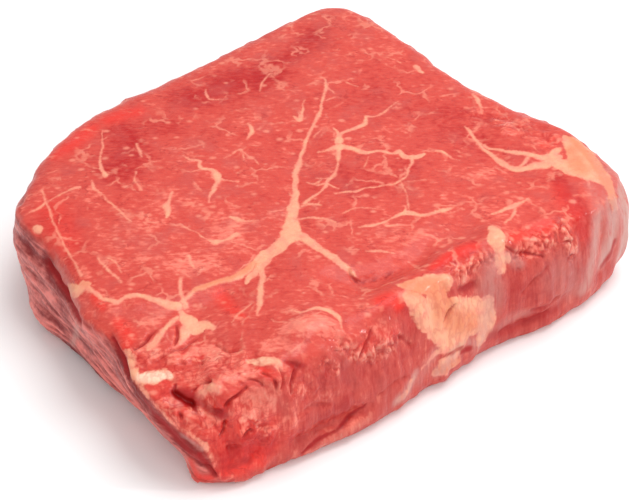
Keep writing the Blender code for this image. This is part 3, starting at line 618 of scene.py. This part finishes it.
PALE = (
    (1.1, (-39, -41, 33, 4.5), (-34.5, -44, 34, 5.5), (-32, -48, 33, 4.5)),
    (0.9, (-47.5, -40, 31.5, 3.5), (-44.5, -42.5, 32, 3.5), (-43.5, -45.5, 32, 3)),
    (0.9, (-59.5, -25.5, 27, 2.5), (-57, -27, 27, 4), (-56.5, -31.5, 28, 4.5)),
    (1.1, (-68, -14.5, 27, 2), (-65.5, -16, 27.5, 3), (-66, -18.5, 27, 2.5)),
    (2, (-67.5, -36, 25, 1.8), (-65.5, -37.5, 27, 3), (-65, -40.5, 29, 2.8)),
    (0.9, (-61.5, -10, 29, 2.5), (-58, -10.5, 29, 3), (-54.5, -10.5, 29.5, 2.5)),
    (0.9, (-69.5, -41.5, 20, 1.8), (-68, -42, 20, 2.2), (-66.5, -44, 21, 1.6)),
    (0.9, (-62, -45.5, 25.5, 2), (-58, -46.5, 26, 3.4), (-55, -49.5, 23.5, 4)),
    (0.5, (-63.5, -45, 19, 2.2), (-62, -46, 20, 2.6), (-60, -48, 21, 2.6)),
    (0.9, (-60.5, -40.5, 29.5, 3.2), (-56.5, -42, 30, 3.6)),
    (0.9, (-70.5, -37, 22, 1.6), (-68.5, -38.5, 21, 1.8)),
    (0.6, (-66, -32, 27, 3), (-62, -35, 28.5, 3)),
    (0.6, (-54, 30.5, 31.5, 1.6), (-57, 24, 30.5, 2), (-59.5, 17, 30.5, 2), (-60.5, 10, 30, 2)),
    (1.5, (-46, -54.5, 2.5, 2.2), (-40, -55.5, 3, 2.6), (-34, -56.5, 4, 2.6), (-28, -57.5, 4.5, 2.6)),
    (0.25, (-30, 10, 34, 16), (-45, 15, 34, 12)),
    (0.65, (-20, 2, 34, 9), (-34, -6, 34, 9), (-42, -2, 33, 8)),
    (0.3, (0, -32, 34, 8), (18, -42, 34, 9)),
)
# The left wall's painted shade: darker colour in the hollows under its rim, along the undercut edge by the
# torn corner, and along its foot by the table.
LEFT_WALL_PAINTED_SHADE = (
    (1, (-61, 30, 26, 2.5), (-62.5, 23.5, 25, 3), (-64.5, 18.5, 24.5, 2.5), (-66.5, 14, 24, 3),
     (-69, 7, 23.5, 2.5)),
    (1, (-69.5, -5, 26.5, 2.2), (-71, -10, 25, 2.6), (-72.5, -15, 23.5, 2.4), (-74, -20, 23, 1.6)),
    (0.95, (-75.5, -22, 20, 5), (-76, -32, 15, 6), (-74, -40, 13.5, 5), (-72, -44, 9, 3)),
    (1, (-64, 20, 3, 4), (-68, 0, 4, 5), (-72, -12, 4, 5), (-75, -25, 6, 5)),
)
# Hue of the fat: below zero it is amber, above zero nearly white.
FAT_HUE = (
    (-1.2, (73, -38, 32, 3.5), (71.5, -44, 32, 4.5), (69, -50, 32, 4), (66.5, -54, 31.5, 3)),
    (-0.75, (67, -43, 32.5, 5), (63, -50, 32, 5)),
    (-1.1, (65, -57, 31, 4), (63, -62, 28, 4)),
    (-1, (-7, -51, 33, 4), (0, -55, 30, 6), (1, -57, 23, 6), (5, -58.5, 18, 6.5), (10, -59, 15, 5)),
    (-0.5, (-12, -58.5, 10, 3), (-15, -59, 7.5, 3), (-18, -59, 6, 3)),
    (-1, (-4, -59.5, 7.5, 2.5), (3.5, -59.5, 6, 2.5)),
    (-0.6, (-64, 16.5, 26.5, 3), (-62, 11.5, 30, 2.5)),
    (-0.9, (-28, -15.5, 33, 2.5), (-37.5, -14.5, 32, 3), (-45, -11.5, 31, 2)),
    (1, (-73, -20.5, 25, 2.5), (-71, -23, 25, 3.4), (-68, -26, 25.5, 2.4)),
    (0.25, (-53, -18, 29, 3), (-52, -22, 29, 2.5)),
    (0.4, (-53, -41, 30.5, 2.5), (-50, -45, 31.5, 2)),
)
FILM_ON_CUT = 0.4  # the share of the silverskin that is left where the wall turns into the cut face
CREASE_BLOOD_AND_SHADE = 0.75  # how dark the creases are painted, blood with painted shade
pale_fat = painted(places, [stroke for stroke in FAT_HUE if stroke[0] > 0])
amber_fat = painted(places, [(-stroke[0], *stroke[1:]) for stroke in FAT_HUE if stroke[0] < 0])
surface = {
    "fat_hue": pale_fat - amber_fat,
    "fat": fat,
    "fat_width": fat_width,
    "cut_face": cut_face,
    "left_side": left_side,
    "silverskin": painted(places, SILVERSKIN) * (1.0 - (1.0 - FILM_ON_CUT) * cut_face),
    "blood_and_shade": np.maximum(painted(places, BLOOD_AND_SHADE), CREASE_BLOOD_AND_SHADE * crease_blood_and_shade),
    "flush_and_glow": painted(places, FLUSH_AND_RIM_GLOW),
    # the lean's tone, with the painted highlights and shade of the wet clumps
    "tone_and_painted_light": painted(places, PALE) - painted(places, DEEP) + lump_tone_and_painted_light,
    # the left wall's bands, darkened by its painted shade
    "bands_and_shade": bands_and_shade - painted(places, LEFT_WALL_PAINTED_SHADE),
    "torn": torn,
    "wet": wet,
}
for name, values in surface.items():
    record = beef.data.attributes.new(name, "FLOAT", "POINT")
    record.data.foreach_set("value", np.asarray(values, np.float32))

# The wet meat. Lean beef is a bundle of fine fibres, a little see-through, with specks and threads of fat
# among them, under a thin film of moisture. One material mixes lean, fat, silverskin, and blood with painted
# shade.
LEAN_DEEP = (0.47, 0.010, 0.011, 1.0)
LEAN_MID = (0.65, 0.070, 0.050, 1.0)
LEAN_PALE = (0.88, 0.205, 0.145, 1.0)
LEAN_DULL = (0.55, 0.080, 0.068, 1.0)
LEAN_PALEST = (0.98, 0.39, 0.28, 1.0)
FRESH_RED_AND_GLOW = (0.82, 0.032, 0.020, 1.0)
FAT_PEACH = (0.88, 0.295, 0.20, 1.0)
FAT_CREAM = (0.88, 0.40, 0.24, 1.0)
FAT_AMBER = (0.77, 0.25, 0.125, 1.0)
FAT_WHITE = (0.98, 0.66, 0.48, 1.0)
SILVER = (0.56, 0.28, 0.245, 1.0)
CREASE_RED = (0.38, 0.008, 0.010, 1.0)
# The darkest red of the slit and the deepest creases: blood, with painted shade.
DARK_BLOOD_AND_SHADE = (0.30, 0.001, 0.001, 1.0)
# The walls' darker red: their own colour, with painted shade in it.
WALL_RED_AND_SHADE = (0.36, 0.052, 0.043, 1.0)
SIDE_DARK = (0.22, 0.007, 0.008, 1.0)
SIDE_PALE = (0.86, 0.225, 0.19, 1.0)

# How much each thing covers what lies under it, at most.
DULL_SHARE = 0.5
FRESH_AND_GLOW_SHARE = 0.85
THREAD_SHARE = 0.5
SPECK_SHARE = 0.6
MARK_SHARE = 0.45
TEAR_SHARE = 0.6
WALL_SHARE = 0.34
SIDE_SHARE = 0.93
AMBER_SHARE = 0.9
FAT_SHARE = 0.96
CREASE_SHARE = 0.9
MEAN_ROUGHNESS = 0.44
BUMP_HEIGHT = 0.6  # mm

meat = bpy.data.materials.new("Wet beef")
meat.use_nodes = True
tree = meat.node_tree
shader = tree.nodes["Principled BSDF"]


def add(kind, settings=(), feeds=()):
    """A node with the given settings, its inputs set to values or fed by other nodes' outputs."""
    made = tree.nodes.new(kind)
    for key, value in dict(settings).items():
        setattr(made, key, value)
    for key, value in dict(feeds).items():
        if isinstance(value, bpy.types.NodeSocket):
            tree.links.new(value, made.inputs[key])
        else:
            made.inputs[key].default_value = value
    return made


def painted_on(name):
    """The values of one of the surface's layers."""
    return add("ShaderNodeAttribute", {"attribute_name": name}).outputs["Fac"]


def ramp(value, low, high):
    """0 where the value is below low, 1 where it is above high, and a soft step between them."""
    feeds = {"Value": value, "From Min": low, "From Max": high}
    return add("ShaderNodeMapRange", {"interpolation_type": "SMOOTHSTEP"}, feeds).outputs["Result"]


def maths(operation, first, second=0.0):
    """The result of a sum on two values."""
    return add("ShaderNodeMath", {"operation": operation}, {0: first, 1: second}).outputs[0]


def product(first, *others):
    """Some values, all multiplied."""
    for value in others:
        first = maths("MULTIPLY", first, value)
    return first


def total(*shares):
    """The sum of some values, each times its weight."""
    found = None
    for value, weight in shares:
        part = product(value, weight)
        found = part if found is None else maths("ADD", found, part)
    return found


def without(value):
    """1 where the value is 0, and 0 where it is 1."""
    return maths("SUBTRACT", 1.0, value)


def between(share, first, second):
    """The first value where the share is 0, the second where it is 1."""
    return add("ShaderNodeMix", {"data_type": "FLOAT"}, {0: share, 2: first, 3: second}).outputs[0]


def blended(share, first, second):
    """The first colour where the share is 0, the second where it is 1."""
    return add("ShaderNodeMix", {"data_type": "RGBA"}, {0: share, 6: first, 7: second}).outputs[2]


where = add("ShaderNodeTexCoord").outputs["Object"]


def stretched(size, stretch=(1.0, 1.0, 1.0), turn=0.0, other=0.0):
    """Coordinates that count in steps of that size in mm, longer along the stretched axes, after a turn."""
    turned = add("ShaderNodeMapping", {}, {"Vector": where, "Rotation": (0.0, 0.0, turn)})
    scale = [1.0 / (size * MM * s) for s in stretch]
    feeds = {"Vector": turned.outputs[0], "Scale": scale, "Location": (other, other, other)}
    return add("ShaderNodeMapping", {}, feeds).outputs[0]


def grain(size, stretch=(1.0, 1.0, 1.0), turn=0.0, detail=2.0, other=0.0, twist=0.0):
    """Noise around 0, from about -0.5 to 0.5, with bumps of that size in mm."""
    feeds = {"Vector": stretched(size, stretch, turn, other), "Scale": 1.0}
    feeds.update({"Detail": detail, "Distortion": twist})
    return maths("SUBTRACT", add("ShaderNodeTexNoise", {}, feeds).outputs["Fac"], 0.5)


def pushed(vector, size, reach):
    """The coordinates, pushed about by that reach, in soft waves of that size in mm."""
    waves = add("ShaderNodeTexNoise", {}, {"Vector": stretched(size), "Scale": 1.0}).outputs["Color"]
    waves = add("ShaderNodeVectorMath", {"operation": "SUBTRACT"}, {0: waves, 1: (0.5, 0.5, 0.5)}).outputs[0]
    waves = add("ShaderNodeVectorMath", {"operation": "SCALE"}, {0: waves, "Scale": reach}).outputs[0]
    return add("ShaderNodeVectorMath", {"operation": "ADD"}, {0: vector, 1: waves}).outputs[0]


fat_layer, cut_layer, left_layer = painted_on("fat"), painted_on("cut_face"), painted_on("left_side")
film_layer, blood_and_shade_layer, tone_and_light_layer = painted_on("silverskin"), painted_on("blood_and_shade"), painted_on("tone_and_painted_light")
torn_layer, wet_layer, band_and_shade_layer = painted_on("torn"), painted_on("wet"), painted_on("bands_and_shade")
flush_and_glow_layer, width_layer, hue_layer = painted_on("flush_and_glow"), painted_on("fat_width"), painted_on("fat_hue")

# Fibres: short streaks on the cut face, upright on the walls, lengthwise on the left wall.
ACROSS = math.radians(45)
streaks = grain(0.7, (3.0, 1.0, 1.5), turn=ACROSS, detail=3.0)
upright = grain(0.7, (1.0, 1.0, 9.0), detail=3.0)
flutes = grain(2.2, (1.0, 1.0, 6.0), detail=1.0, other=9.0)
lengthwise = grain(0.9, (2.0, 10.0, 1.0), detail=4.0, twist=0.4)
front_fibres = total((upright, 1.7), (flutes, 1.3))
fibres = between(cut_layer, between(left_layer, front_fibres, lengthwise), streaks)
bundle_net = pushed(stretched(1.7, (1.3, 1.0, 1.0), ACROSS), 2.5, 0.8)
bundles = add("ShaderNodeTexVoronoi", {}, {"Vector": bundle_net, "Scale": 1.0})
patches = grain(12.0, detail=2.0)
mottle = grain(1.3, (1.3, 1.0, 1.0), turn=ACROSS, detail=4.0, other=7.0)
knots = grain(3.4, (1.3, 1.0, 1.0), turn=ACROSS, detail=2.0, other=13.0, twist=0.8)
mottle_share = between(cut_layer, 0.5, 1.0)
# The tone layer carries the wet clumps' painted highlights and painted shade.
lightness = total((patches, 0.9), (mottle, mottle_share), (knots, 0.8), (fibres, 1.2), (tone_and_light_layer, 0.75))
lightness = total((lightness, 1.0), (bundles.outputs["Distance"], -0.45))
lean = blended(ramp(lightness, -1.3, -0.15), LEAN_DEEP, LEAN_MID)
lean = blended(ramp(lightness, -0.2, 0.55), lean, LEAN_PALE)
lean = blended(ramp(lightness, 0.5, 1.3), lean, LEAN_PALEST)
untorn = without(torn_layer)
dull = product(ramp(grain(7.0, detail=3.0, other=33.0), -0.02, 0.22), untorn)
lean = blended(product(dull, DULL_SHARE), lean, LEAN_DULL)
# Fresh red, which along the back rim stands for a painted glow.
fresh_and_glow = blended(ramp(lightness, -0.3, 0.9), FRESH_RED_AND_GLOW, LEAN_PALE)
lean = blended(product(flush_and_glow_layer, FRESH_AND_GLOW_SHARE), lean, fresh_and_glow)

# Marbling: specks of fat of many sizes, and soft broken threads between the bundles of fibres.
cells = add("ShaderNodeTexVoronoi", {}, {"Vector": stretched(4.2, (1.35, 1.0, 1.0), ACROSS), "Scale": 1.0})
speck_size = product(cells.outputs["Color"], 0.16)
specks = ramp(maths("ADD", cells.outputs["Distance"], speck_size), 0.30, 0.10)
net = {"Vector": pushed(stretched(8.5, (1.2, 1.0, 1.0), ACROSS), 3.0, 0.45), "Scale": 1.0}
net = add("ShaderNodeTexVoronoi", {"feature": "DISTANCE_TO_EDGE"}, net).outputs["Distance"]
threads = product(ramp(net, 0.075, 0.015), ramp(grain(6.0, detail=2.0, other=21.0), -0.04, 0.14))
marbling = maths("MAXIMUM", product(threads, THREAD_SHARE), product(specks, SPECK_SHARE))
lean = blended(product(marbling, cut_layer), lean, FAT_PEACH)
marks = ramp(maths("ABSOLUTE", grain(3.2, (1.6, 1.0, 1.0), ACROSS, 3.0, 45.0)), 0.035, 0.0)
marks = product(marks, ramp(grain(5.0, detail=1.0, other=53.0), 0.06, 0.16))
lean = blended(product(marks, untorn, MARK_SHARE), lean, CREASE_RED)
tears = ramp(maths("ABSOLUTE", grain(4.5, detail=2.5, other=71.0, twist=0.8)), 0.07, 0.0)
lean = blended(product(tears, torn_layer, TEAR_SHARE), lean, LEAN_DEEP)

# The walls are duller than the cut face, darker partly as painted shade; the left wall is striped, smeared
# with dark blood.
smears = grain(4.5, (1.5, 2.5, 1.0), detail=3.0, other=81.0, twist=0.6)
walled = product(without(cut_layer), maths("SUBTRACT", untorn, flush_and_glow_layer))
lean = blended(product(ramp(walled, 0.0, 1.0), WALL_SHARE), lean, WALL_RED_AND_SHADE)
# The side colour goes dark where the bands are low, and in the left wall's painted shade.
sides = total((band_and_shade_layer, 0.7), (lengthwise, 1.3), (mottle, 1.0), (smears, 2.0))
side_colour = blended(ramp(sides, -0.75, 0.75), SIDE_DARK, SIDE_PALE)
side_share = product(left_layer, maths("SUBTRACT", SIDE_SHARE, flush_and_glow_layer))
lean = blended(side_share, lean, side_colour)

# The fat is peach-coloured where it is thin, cream where it is thick, and frays into the lean at its edges.
loose = maths("MAXIMUM", between(cut_layer, 2.4, 0.3), product(torn_layer, 2.0))
islands = product(grain(2.6, detail=3.0, other=61.0, twist=0.6), loose)
ragged = total((fat_layer, 1.0), (grain(0.8, detail=3.0), 0.7), (islands, 1.0))
fat_grain = grain(2.6, detail=5.0, other=11.0)
fat_tone = total((fat_layer, 0.22), (width_layer, 0.26), (fat_grain, 3.2), (fibres, 0.5))
fat_tone = maths("ADD", fat_tone, product(cut_layer, 0.25))
fat_colour = blended(ramp(fat_tone, 0.0, 1.4), FAT_PEACH, FAT_CREAM)
amber = maths("ADD", product(hue_layer, -1.3), grain(4.0, detail=2.0, other=65.0))
fat_colour = blended(product(ramp(amber, 0.1, 1.2), AMBER_SHARE), fat_colour, FAT_AMBER)
fat_colour = blended(ramp(hue_layer, 0.1, 1.0), fat_colour, FAT_WHITE)
veins = ramp(maths("ABSOLUTE", grain(2.4, (1.0, 1.0, 2.5), detail=3.0, other=77.0)), 0.10, 0.0)
vein_share = maths("MAXIMUM", between(cut_layer, 0.3, 0.1), product(torn_layer, 0.4))
unveined = without(product(veins, vein_share))
strength = product(ramp(ragged, -0.4, 0.45), ramp(width_layer, -0.7, 0.5), unveined)
colour = blended(product(strength, FAT_SHARE), lean, fat_colour)
film_grain = grain(1.3, (1.0, 1.0, 8.0), detail=3.0, other=5.0)
colour = blended(product(film_layer, ramp(film_grain, -0.4, 0.05)), colour, SILVER)
# The creases and the slit are painted dark red: blood, and painted shade.
colour = blended(product(ramp(blood_and_shade_layer, 0.05, 0.6), CREASE_SHARE), colour, CREASE_RED)
colour = blended(ramp(blood_and_shade_layer, 0.55, 1.0), colour, DARK_BLOOD_AND_SHADE)
tree.links.new(colour, shader.inputs["Base Color"])

# The film of moisture, and the fine relief under it: pits between the fibres, and wrinkles where it is torn.
damp_grain = grain(2.5, detail=3.0, other=17.0)
dryness = total((damp_grain, 0.5), (wet_layer, -0.22), (torn_layer, -0.18), (blood_and_shade_layer, 0.35))
tree.links.new(maths("ADD", dryness, MEAN_ROUGHNESS), shader.inputs["Roughness"])
fine = grain(0.4, detail=2.0, other=2.0)
pits = total((fine, 0.4), (fibres, 0.45), (mottle, 1.0))
pits = product(pits, between(torn_layer, 1.0, 0.35))
loose_share = maths("MAXIMUM", product(torn_layer, 0.45), wet_layer)
wrinkles = product(grain(1.6, detail=2.0, other=29.0, twist=1.0), loose_share)
fine_relief = total((pits, 0.55), (wrinkles, 1.0))
bump = add("ShaderNodeBump", {}, {"Height": fine_relief, "Strength": 0.8, "Distance": BUMP_HEIGHT * MM})
tree.links.new(bump.outputs["Normal"], shader.inputs["Normal"])
WET_FLESH = {
    "Subsurface Weight": 0.15,
    "Subsurface Radius": (1.0, 0.3, 0.2),
    "Subsurface Scale": 1.0 * MM,
    "Specular IOR Level": 0.2,
    "Coat Weight": 0.17,
    "Coat Roughness": 0.15,
}
for socket, value in WET_FLESH.items():
    shader.inputs[socket].default_value = value

beef.data.materials.clear()
beef.data.materials.append(meat)
beef.data.shade_smooth()
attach(beef, "root")
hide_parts("steak")

# The table. A plain matt white board, much wider than the view, which the steak lies on.
TABLE_SIDE = 4.0  # m
TABLE_GAP = 0.2  # mm, so that the two flat faces don't fight
MATT_WHITE = {"Base Color": (0.98, 0.98, 0.98, 1.0), "Roughness": 0.9, "Specular IOR Level": 0.1}
table_shape = bmesh.new()
bmesh.ops.create_grid(table_shape, x_segments=1, y_segments=1, size=TABLE_SIDE / 2)
bmesh.ops.translate(table_shape, verts=table_shape.verts, vec=(0.0, 0.0, -TABLE_GAP * MM))
table = bpy.data.objects.new("table", bpy.data.meshes.new("table"))
table_shape.to_mesh(table.data)
table_shape.free()
bpy.context.scene.collection.objects.link(table)
white = bpy.data.materials.new("Matt white")
white.use_nodes = True
for socket, value in MATT_WHITE.items():
    white.node_tree.nodes["Principled BSDF"].inputs[socket].default_value = value
table.data.materials.append(white)

# The studio. A bright even surround, one broad lamp high on the right, so that the cut face is fully lit, a
# weaker one in front for the walls, and a small one low in front that glints on the wet clumps of the rim.
SURROUND = 0.66
studio = bpy.data.worlds.new("Studio")
studio.use_nodes = True
studio.node_tree.nodes["Background"].inputs["Color"].default_value = (1.0, 1.0, 1.0, 1.0)
studio.node_tree.nodes["Background"].inputs["Strength"].default_value = SURROUND
bpy.context.scene.world = studio
LAMPS = (
    # name, direction, distance in m, side in m, power in W
    ("Broad lamp", (0.26, -0.08, 0.9), 0.9, 0.55, 4.4),
    ("Front lamp", (-0.45, -0.60, 0.65), 0.8, 0.5, 1.0),
    ("Glint lamp", (0.54, -0.70, 0.45), 0.8, 0.05, 1.1),
)
for name, direction, distance, side, power in LAMPS:
    lamp = bpy.data.objects.new(name, bpy.data.lights.new(name, "AREA"))
    lamp.data.energy = power
    lamp.data.size = side
    lamp.location = Vector(direction).normalized() * distance
    lamp.rotation_euler = Vector(direction).to_track_quat("Z", "Y").to_euler()
    bpy.context.scene.collection.objects.link(lamp)

# The camera looks at the front left corner from 40 degrees above, from 0.7 m away.
AIM = Vector((0.8, -10.65, 17.0)) * MM
TURN, RISE = math.radians(-45.0), math.radians(40.0)
FAR = 0.7  # m
LENS = 145.2  # mm
NEAREST = 0.01  # m, the least distance that it shows
camera = bpy.data.objects.new("Camera", bpy.data.cameras.new("Camera"))
camera.data.lens = LENS
camera.data.clip_start = NEAREST
back = Vector((math.sin(TURN) * math.cos(RISE), -math.cos(TURN) * math.cos(RISE), math.sin(RISE)))
camera.location = AIM + back * FAR
camera.rotation_euler = (math.pi / 2 - RISE, 0.0, TURN)
bpy.context.scene.collection.objects.link(camera)
bpy.context.scene.camera = camera
bpy.context.scene.view_settings.view_transform = "Standard"
